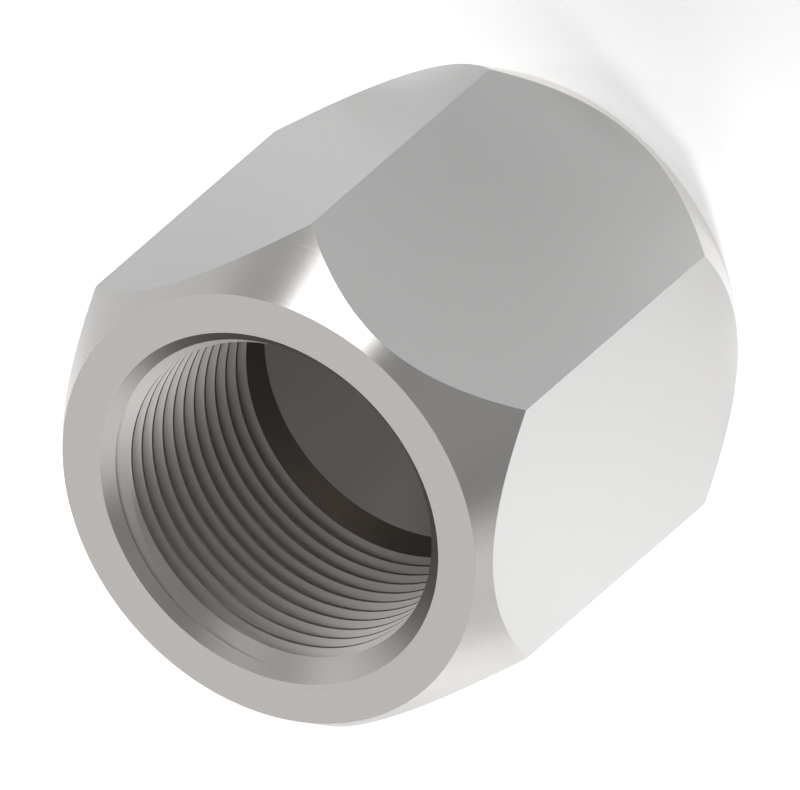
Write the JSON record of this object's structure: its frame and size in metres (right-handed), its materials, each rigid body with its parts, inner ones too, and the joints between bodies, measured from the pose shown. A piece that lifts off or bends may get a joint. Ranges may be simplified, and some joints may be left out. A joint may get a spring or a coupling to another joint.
{
  "type": "threaded protection cap",
  "caption": "Steel hexagonal cap with a threaded blind hole, screwed over a male thread to close and protect it.",
  "frame": {"origin": "centre of the closed end face, on which the cap stands", "axes": "+Z along the bore axis, out of the mouth; two hexagon corners on the Y axis, two flats facing along X"},
  "size_m": [0.0302, 0.0348, 0.0318],
  "materials": {
    "turned_steel": "satin turned steel"
  },
  "bodies": {
    "root": {"protection_cap": "turned_steel"}
  },
  "joints": []
}
